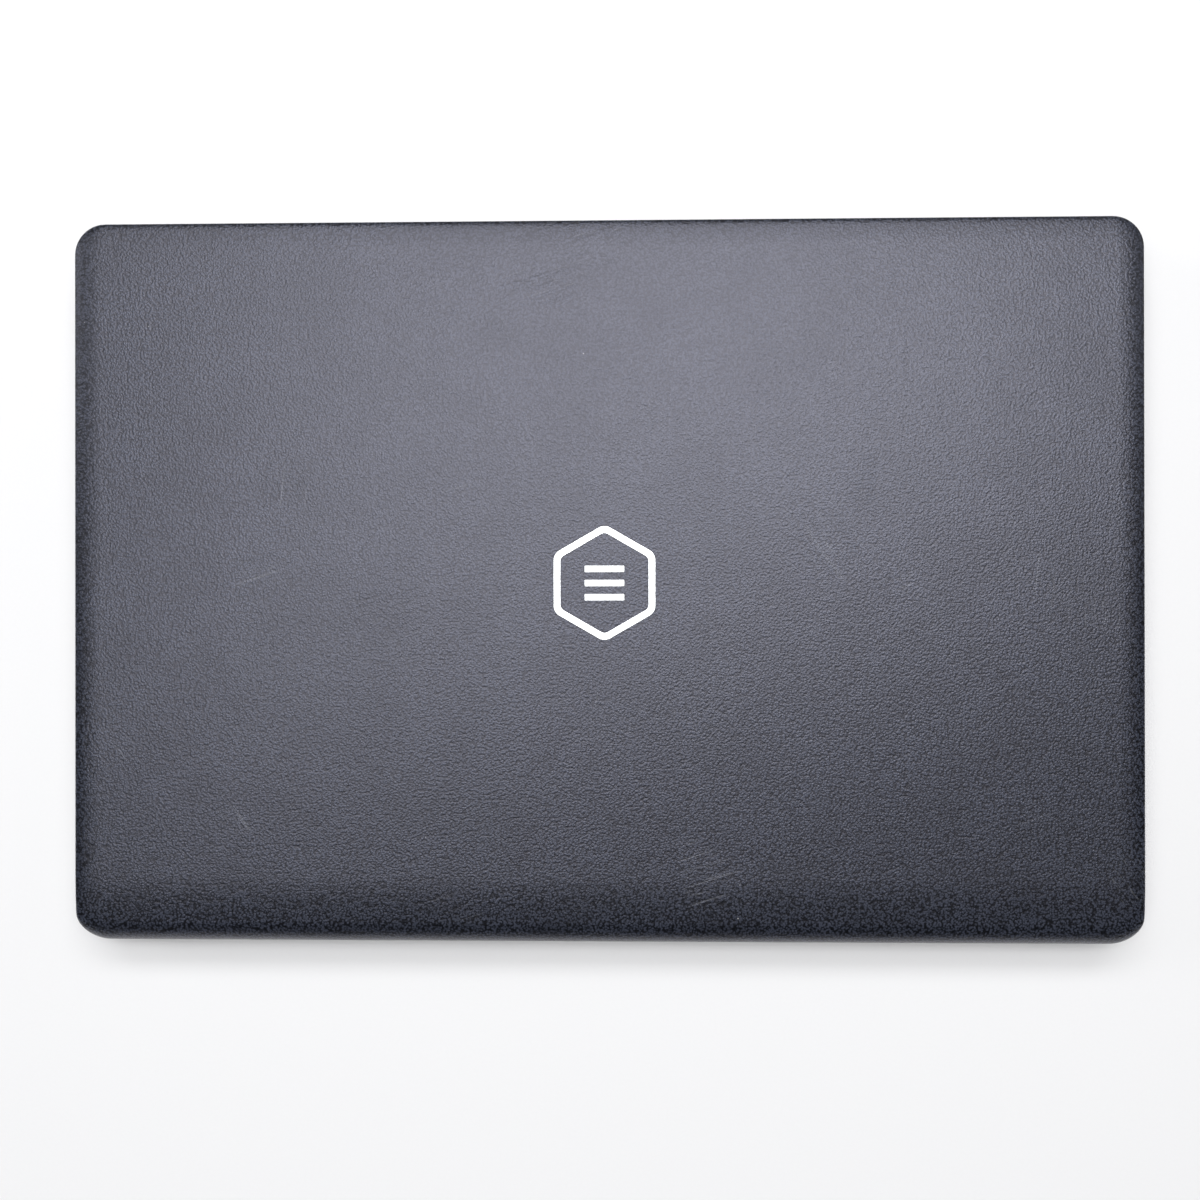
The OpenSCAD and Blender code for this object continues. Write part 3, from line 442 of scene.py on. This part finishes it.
# %% Circuit boards
def board_material(name, low_z, high_z):
    """Green laminate between two heights, black packages outside them."""
    material, tree, shader, where = new_material(name)
    tracks = add(tree, "TexBrick", {
        "Vector": where, "Scale": 160.0, "Mortar Size": 0.03,
        "Color1": (0, 0, 0, 1), "Color2": (0.15, 0.15, 0.15, 1), "Mortar": (1, 1, 1, 1)})
    broken = add(tree, "TexNoise", {"Vector": where, "Scale": 70.0, "Detail": 3.0})
    shown = calc(tree, "MULTIPLY", tracks.outputs["Color"], between(tree, broken.outputs["Fac"], 0.45, 0.6))
    green = blend_colour(tree, shown, screen_colour(18, 74, 50), screen_colour(46, 118, 78))
    axes = add(tree, "SeparateXYZ", {"Vector": where})
    above = between(tree, axes.outputs["Z"], high_z + 0.02 * MM, high_z + 0.06 * MM)
    not_below = between(tree, axes.outputs["Z"], low_z - 0.06 * MM, low_z - 0.02 * MM)
    below = calc(tree, "SUBTRACT", 1.0, not_below)
    package = calc(tree, "MAXIMUM", above, below)
    plug(tree, blend_colour(tree, package, green, screen_colour(24, 24, 26)), shader.inputs["Base Color"])
    plug(tree, calc(tree, "MULTIPLY_ADD", package, 0.15, 0.32), shader.inputs["Roughness"])
    bump = add(tree, "Bump", {"Strength": 0.5, "Distance": 0.02 * MM})
    plug(tree, shown, bump.inputs["Height"])
    plug(tree, bump.outputs["Normal"], shader.inputs["Normal"])
    return material


main_board = board_material("circuit_board_main", 6.6 * MM, 7.8 * MM)
small_board = board_material("circuit_board_small", 5.0 * MM, 5.8 * MM)
memory_board = board_material("circuit_board_memory", 4.4 * MM, 5.3 * MM)
lid_board = board_material("circuit_board_lid", 18.2 * MM, 19.6 * MM)
print("boards:", [board.name for board in (main_board, small_board, memory_board, lid_board)])

# %% [markdown]
# The screen is off, so it is a dark, nearly black pane. A slight haze and the odd dust grain change
# its gloss, never its colour. The lens windows are the same, only clearer.

# %% Glass
def dark_glass(name, colour, roughness):
    material, tree, shader, where = new_material(name)
    haze = add(tree, "TexNoise", {"Vector": where, "Scale": 14.0, "Detail": 6.0})
    dots = use_group(tree, specks, {"Vector": where, "Spacing": 7 * MM, "Reach": 0.02}).outputs["Mask"]
    plug(tree, blend_colour(tree, calc(tree, "MULTIPLY", dots, 0.3), colour, (0.2, 0.2, 0.21)),
         shader.inputs["Base Color"])
    rough = calc(tree, "MULTIPLY_ADD", between(tree, haze.outputs["Fac"], 0.3, 0.8), 0.02, roughness)
    plug(tree, calc(tree, "MULTIPLY_ADD", dots, 0.4, rough), shader.inputs["Roughness"])
    shader.inputs["IOR"].default_value = 1.52
    return material


screen_finish = dark_glass("screen_glass", screen_colour(13, 14, 17), 0.09)
lens_finish = dark_glass("lens_glass", screen_colour(9, 10, 14), 0.04)
print("glass:", screen_finish.name, lens_finish.name)

# %% [markdown]
# ## Dress the CAD nodes
#
# Every node gets its slot's finish first. The boards differ only in the height of their laminate.

# %% Finishes on the CAD nodes
finishes = {
    "lid_plastic": lid_finish, "badge_metal": badge_finish, "black_plastic": black_finish,
    "dark_plastic": dark_finish, "panel_frame": panel_finish, "screen_glass": screen_finish,
    "circuit_board": small_board, "lens_glass": lens_finish, "copper_foil": foil_finish,
    "hinge_steel": hinge_finish, "screw_steel": screw_finish, "soft_rubber": rubber_finish,
    "cable_jacket": cable_finish, "bottom_plastic": bottom_finish, "case_plastic": case_finish,
    "key_plastic": key_finish, "bright_aluminium": sheet_finish, "copper": copper_finish,
    "battery_wrap": wrap_finish, "drive_aluminium": drive_finish, "cell_steel": cell_finish,
    "socket_steel": socket_finish, "light_pipe": light_finish, "pad_plastic": pad_finish,
}
board_of = {"motherboard": main_board, "daughter_boards": main_board, "memory_modules": memory_board,
            "panel_board": lid_board, "camera_module": lid_board}
for part in frame["record"]["subparts"]:
    name = part["node"]
    finish = board_of.get(name, finishes[part["material_slot"]])
    for material_slot in nodes[name].material_slots:
        material_slot.material = finish
print("dressed", len(nodes), "nodes")

# %% [markdown]
# ## The lid
#
# The real lid is one moulding: a flat top that rolls over at the front and sides, and over the back
# turns down round the hinge in a quarter circle. It could be cut from a block with booleans, but that
# leaves creases at the corners. Insetting a round-cornered face step by step, and lifting each ring
# along the curve of the roll, carries the roll smoothly round every corner. The rings at the back are
# then moved from the low side roll to the round hinge roll.

# %% Lid shell
corner = 11 * MM
roll_wide = 10 * MM
roll_high = 1.8 * MM
roll_steps = 12
wall = 1.7 * MM
hinge_axis = Vector(next(j for j in frame["joints"] if j["name"] == "lid_hinge")["pos_m"])
hinge_radius = lid_high.z - hinge_axis.z
rim_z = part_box("display_bezel")[1].z
side_z = lid_high.z - roll_high
seam_z = hinge_axis.z - 0.9 * MM
crown_start = hinge_axis.y - 16.4 * MM
crown_drop = 1.0 * MM
first_cut = 0.1 * MM
cut_gap = 2.7 * MM
near = 0.01 * MM


def rounded_face(width, depth, radius, z, segments):
    """One flat face with round corners, as an object in edit mode."""
    bpy.ops.mesh.primitive_plane_add(size=1, location=(0, 0, z))
    piece = bpy.context.object
    piece.scale = (width, depth, 1)
    bpy.ops.object.transform_apply(location=True, rotation=True, scale=True)
    edit(piece)
    bpy.ops.mesh.select_all(action="SELECT")
    bpy.ops.mesh.bevel(offset=radius, segments=segments, affect="VERTICES")
    bpy.ops.mesh.select_all(action="SELECT")
    return piece


def ring_angle(z):
    """How far round the side roll a ring lies, from its height."""
    return math.asin(min(1.0, max(0.0, (z - side_z) / roll_high)))


def back_share(point):
    """0 along the front and sides, 1 along the back, smooth round the back corners."""
    dx = max(0.0, abs(point.x) - (lid_high.x - corner))
    dy = point.y - (lid_high.y - corner)
    if dy <= 0:
        return 0.0
    share = math.atan2(dy, dx) / (math.pi / 2)
    return share * share * (3 - 2 * share)


lid = rounded_face(lid_size.x, lid_size.y, corner, rim_z, 12)
bpy.ops.mesh.extrude_region_move(TRANSFORM_OT_translate={"value": (0, 0, side_z - rim_z)})
for step in range(1, roll_steps + 1):
    before = math.pi / 2 * (step - 1) / roll_steps
    after = math.pi / 2 * step / roll_steps
    bpy.ops.mesh.inset(thickness=roll_wide * (math.cos(before) - math.cos(after)),
                       depth=roll_high * (math.sin(after) - math.sin(before)), use_even_offset=True)
pick(lid, "faces", lambda face: face.calc_center_median().z < rim_z + near)
bpy.ops.mesh.delete(type="ONLY_FACE")
cuts = [hinge_axis.y + first_cut] + [hinge_axis.y - first_cut - cut_gap * step for step in range(7)]
for cut_y in cuts:
    bpy.ops.mesh.select_all(action="SELECT")
    bpy.ops.mesh.bisect(plane_co=(0, cut_y, 0), plane_no=(0, 1, 0))
mesh = bmesh.from_edit_mesh(lid.data)
for vert in mesh.verts:
    share = back_share(vert.co)
    angle = ring_angle(vert.co.z)
    if vert.co.z < rim_z + near:
        if vert.co.y > hinge_axis.y:
            vert.co.z = seam_z
    else:
        back_z = hinge_axis.z + hinge_radius * math.sin(angle)
        vert.co.z += (back_z - vert.co.z) * share
        vert.co.y += (roll_wide - hinge_radius) * (1 - math.cos(angle)) * share
        crown = max(0.0, (vert.co.y - crown_start) / (hinge_axis.y - crown_start))
        vert.co.z -= crown_drop * crown * crown * (vert.co.z - hinge_axis.z) / hinge_radius
bmesh.update_edit_mesh(lid.data)
bpy.ops.mesh.select_all(action="SELECT")
bpy.ops.mesh.normals_make_consistent(inside=False)
leave_edit()
apply(lid, "SOLIDIFY", thickness=wall, offset=-1, use_even_offset=True)
print("lid shell:", len(lid.data.polygons), "faces before its pocket")

# %% [markdown]
# The badge sits in a pocket of its own shape, flush with the lid. The CAD badge, made a little larger,
# cuts the pocket, and the badge's own copy gets fine round edges so that it catches the light.

# %% Badge and its pocket
pocket_gap = 0.12 * MM
badge = welded_copy("lid_badge")
cutter = badge.copy()
cutter.data = badge.data.copy()
bpy.context.scene.collection.objects.link(cutter)
edit(cutter)
bpy.ops.mesh.select_all(action="SELECT")
bpy.ops.transform.shrink_fatten(value=pocket_gap, use_even_offset=True)
leave_edit()
apply(lid, "BOOLEAN", object=cutter, operation="DIFFERENCE", solver="EXACT")
bpy.data.objects.remove(cutter)
smooth(lid, 40)
finish_piece(lid, "lid_shell", "lid", lid_finish, ["lid_cover"])
soften(badge, 0.1, segments=2)
finish_piece(badge, "badge", "lid", badge_finish, ["lid_badge"])

# %% [markdown]
# ## Softer edges on the moulded parts
#
# No moulded or stamped edge is truly sharp. The parts whose CAD shape is right, but whose edges show,
# are copied, welded and given a fine round by a bevel that only touches sharp edges.

# %% Bevelled copies
soft_edges = [
    ("display_bezel", "screen_frame", "lid", 0.25, 2),
    ("hinge_cover", "hinge_roll_cover", "lid", 0.2, 2),
    ("bezel_bumpers", "lid_bumpers", "lid", 0.12, 2),
    ("camera_window", "camera_lens", "lid", 0.08, 2),
    ("top_case", "keyboard_deck", "base", 0.22, 2),
    ("bottom_cover", "floor_cover", "base", 0.2, 2),
    ("hinge_caps", "hinge_barrels", "base", 0.35, 3),
    ("feet", "rubber_feet", "base", 0.3, 3),
    ("touchpad", "touch_surface", "touchpad", 0.18, 3),
    ("power_button", "power_key", "power_button", 0.3, 3),
    ("bottom_screws", "floor_screws", "base", 0.08, 1),
]
slot_of = {part["node"]: part["material_slot"] for part in frame["record"]["subparts"]}
for node, name, body, width, segments in soft_edges:
    piece = welded_copy(node)
    soften(piece, width, segments)
    finish_piece(piece, name, body, finishes[slot_of[node]], [node])

# %% [markdown]
# ## Keys
#
# Each row's caps are one piece, because each row moves as one. A cap's top is inset and sunk a little,
# which gives the shallow dish that a finger feels, and its edges are rounded. The insets together are
# narrower than the corner radius, or they would fold over themselves. Where each cap is comes from the
# CAD row itself: the welded copy's top faces, sorted from back to front and from left to right.

# %% Key caps
key_rows = ["function_keys", "number_keys", "upper_keys", "home_keys", "lower_keys", "bottom_keys",
            "space_bar", "keypad_keys"]
dish = 0.12 * MM
dish_rim = 0.45 * MM
dish_slope = 0.35 * MM
cap_places = {}
for row in key_rows:
    caps = welded_copy(row, whole_faces=True)
    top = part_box(row)[1].z
    places = []
    for face in caps.data.polygons:
        if face.normal.z > 0.99 and face.center.z > top - near:
            corners = [caps.data.vertices[index].co for index in face.vertices]
            places.append((min(c.x for c in corners), max(c.x for c in corners),
                           min(c.y for c in corners), max(c.y for c in corners)))
    cap_places[row] = sorted(places, key=lambda p: (round(-(p[2] + p[3]) / 2 / MM), p[0]))
    edit(caps)
    pick(caps, "faces", lambda face: face.normal.z > 0.99 and face.calc_center_median().z > top - near)
    bpy.ops.mesh.inset(thickness=dish_rim, depth=0, use_individual=True)
    bpy.ops.mesh.inset(thickness=dish_slope, depth=-dish, use_individual=True)
    bpy.ops.mesh.select_all(action="SELECT")
    bpy.ops.mesh.remove_doubles(threshold=0.02 * MM)
    leave_edit()
    soften(caps, 0.2, 2, angle=30)
    finish_piece(caps, row + "_caps", row, key_finish, [row])
print({row: len(places) for row, places in cap_places.items()})

# %% [markdown]
# The legends are printed, so they are flat: text turned into a mesh a hundredth of a millimetre
# thick, lying in the dish, near the cap's upper left corner. Only plain letters, digits, signs and
# the usual short key names are used. Where a key has a second sign, it is the line above.

# %% Key legends
ink = 0.012 * MM
legend_margin = 2.2 * MM
legend_words = {
    "function_keys": ["esc"] + [f"F{n}" for n in range(1, 13)] + ["ins", "prt", "del"]
                     + ["home", "end", "pgup", "pgdn"],
    "number_keys": ["~\n`", "!\n1", "@\n2", "#\n3", "$\n4", "%\n5", "^\n6", "&\n7", "*\n8", "(\n9",
                    ")\n0", "_\n-", "+\n=", "back"],
    "upper_keys": ["tab"] + list("QWERTYUIOP") + ["{\n[", "}\n]", "|\n\\"],
    "home_keys": ["caps"] + list("ASDFGHJKL") + [":\n;", "\"\n'", "enter"],
    "lower_keys": ["shift"] + list("ZXCVBNM") + ["<\n,", ">\n.", "?\n/", "shift"],
    "bottom_keys": ["up", "ctrl", "fn", "sys", "alt", "alt", "ctrl", "left", "right", "down"],
    "keypad_keys": ["num", "/", "*", "-", "7", "8", "9", "+", "4", "5", "6", "1", "2", "3", "ent",
                    "0", "."],
}
arrow_turn = {"up": 0, "left": 90, "down": 180, "right": 270}


def legend(word, place, floor_z):
    """One legend as a thin flat mesh on a cap that spans place."""
    low_x, high_x, low_y, high_y = place
    if word in arrow_turn:
        bpy.ops.mesh.primitive_circle_add(vertices=3, radius=1.0 * MM, fill_type="NGON")
        mark = bpy.context.object
        mark.rotation_euler.z = math.radians(arrow_turn[word])
        mark.location = ((low_x + high_x) / 2, (low_y + high_y) / 2, floor_z + ink)
        bpy.ops.object.transform_apply(location=True, rotation=True, scale=True)
        return mark
    size = 3.5 if len(word) == 1 else 2.7 if "\n" in word else 2.3
    bpy.ops.object.text_add()
    mark = bpy.context.object
    mark.data.body = word
    mark.data.size = size * MM
    mark.data.space_line = 1.25
    mark.data.align_y = "TOP"
    mark.data.resolution_u = 3
    bpy.ops.object.convert(target="MESH")
    mark.location = (low_x + legend_margin, high_y - legend_margin, floor_z + ink)
    bpy.ops.object.transform_apply(location=True, rotation=True, scale=True)
    return mark


for row, words in legend_words.items():
    floor_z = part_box(row)[1].z - dish
    pairs = zip(words, cap_places[row], strict=True)
    marks = join([legend(word, place, floor_z) for word, place in pairs])
    edit(marks)
    bpy.ops.mesh.select_all(action="SELECT")
    bpy.ops.mesh.extrude_region_move(TRANSFORM_OT_translate={"value": (0, 0, -ink)})
    bpy.ops.mesh.select_all(action="SELECT")
    bpy.ops.mesh.normals_make_consistent(inside=False)
    leave_edit()
    finish_piece(marks, row + "_legends", row, legend_finish)

# %% [markdown]
# ## Inside the sockets
#
# A socket's steel shell is in the CAD. What makes it read as a socket is inside: a dark plastic
# tongue, gilded contacts on it, or springy wires. Each is a small block with rounded edges, placed
# from the socket's mount point, which the record gives in metres.

# %% Tongues and contacts
mount_at = {mount["name"]: Vector(mount["pos_m"]) for mount in frame["record"]["mounts"]}


def small_block(low, high, round_mm):
    piece = block(low, high)
    edit(piece)
    bpy.ops.mesh.select_all(action="SELECT")
    bpy.ops.mesh.bevel(offset=round_mm * MM, segments=2, affect="EDGES")
    leave_edit()
    return piece


def from_mouth(mount, depth_mm, across_mm, up_mm):
    """Two corners from a socket's mouth: into the case, along it, and up."""
    mouth = mount_at[mount]
    inwards = -1 if mouth.x > 0 else 1
    xs = sorted(mouth.x + inwards * d * MM for d in depth_mm)
    low = Vector((xs[0], mouth.y + across_mm[0] * MM, mouth.z + up_mm[0] * MM))
    high = Vector((xs[1], mouth.y + across_mm[1] * MM, mouth.z + up_mm[1] * MM))
    return low, high


tongues, contacts = [], []
for mount in ("usb_left_rear", "usb_left_front", "usb_right"):
    tongues.append(small_block(*from_mouth(mount, (3.6, 14.2), (-5.55, 5.55), (0.2, 2.2)), 0.15))
    for across in (-3.5, -1.0, 1.0, 3.5):
        corners = from_mouth(mount, (4.2, 11), (across - 0.55, across + 0.55), (0.12, 0.3))
        contacts.append(small_block(*corners, 0.04))
tongues.append(small_block(*from_mouth("video_socket", (5.0, 14.2), (-5.85, 5.85), (-0.55, 0.55)), 0.12))
for count in range(10):
    across = -4.5 + count
    corners = from_mouth("video_socket", (5.4, 10), (across - 0.2, across + 0.2), (-0.62, -0.5))
    contacts.append(small_block(*corners, 0.02))
for count in range(8):
    across = -3.57 + 1.02 * count
    corners = from_mouth("network_socket", (3, 13), (across - 0.2, across + 0.2), (2.7, 3.2))
    contacts.append(small_block(*corners, 0.08))
tongue = join(tongues)
smooth(tongue)
finish_piece(tongue, "socket_tongues", "base", black_finish)
contact = join(contacts)
smooth(contact)
finish_piece(contact, "socket_contacts", "base", contact_finish)

# %% [markdown]
# ## Floor and light
#
# The laptop lies on white paper. A bank of soft strips hangs over it, from beyond its front edge to
# just past the hinge, and is mirrored in the satin lid: bright at the front, fading towards the hinge.
# Two weak panels at the sides keep the rounded edges readable.

# %% Floor
bpy.ops.mesh.primitive_plane_add(size=6, location=(0, 0, 0))
floor = bpy.context.object
floor.name = "floor"
paper, tree, shader, where = new_material("floor_paper")
fibre = add(tree, "TexNoise", {"Vector": where, "Scale": 900.0, "Detail": 3.0})
plug(tree, blend_colour(tree, fibre.outputs["Fac"], (0.8, 0.8, 0.81), (0.82, 0.82, 0.83)),
     shader.inputs["Base Color"])
shader.inputs["Roughness"].default_value = 0.9
shader.inputs["Specular IOR Level"].default_value = 0.2
floor.data.materials.append(paper)
print("stage:", floor.name)


# %% Lights
def soft_light(name, place, width, height, watts):
    """A rectangular light that faces the laptop."""
    lamp_data = bpy.data.lights.new(name, "AREA")
    lamp_data.shape = "RECTANGLE"
    lamp_data.size = width
    lamp_data.size_y = height
    lamp_data.energy = watts
    lamp = bpy.data.objects.new(name, lamp_data)
    bpy.context.scene.collection.objects.link(lamp)
    lamp.location = place
    lamp.rotation_euler = (-Vector(place)).to_track_quat("-Z", "Y").to_euler()
    lamp.visible_camera = False


strip_height = 2.2
strips = [(-1.9, 2.75, 31), (-1.25, 3.0, 8), (-0.65, 2.1, 24), (-0.1, 2.8, 22), (0.35, 3.0, 3)]
for strip_y, strip_width, watts in strips:
    soft_light("overhead_strip", (0.03, strip_y, strip_height), strip_width, 0.6, watts)
soft_light("side_fill", (1.6, -0.6, 0.9), 0.6, 0.8, 3.7)
soft_light("side_fill", (-1.6, -0.6, 0.9), 0.6, 0.8, 1.3)

world = bpy.data.worlds.new("studio")
world.use_nodes = True
world.node_tree.nodes["Background"].inputs["Color"].default_value = (0.95, 0.97, 1.0, 1)
world.node_tree.nodes["Background"].inputs["Strength"].default_value = 0.03
bpy.context.scene.world = world
bpy.context.scene.view_settings.view_transform = "Standard"
print("lights:", len(bpy.data.lights))
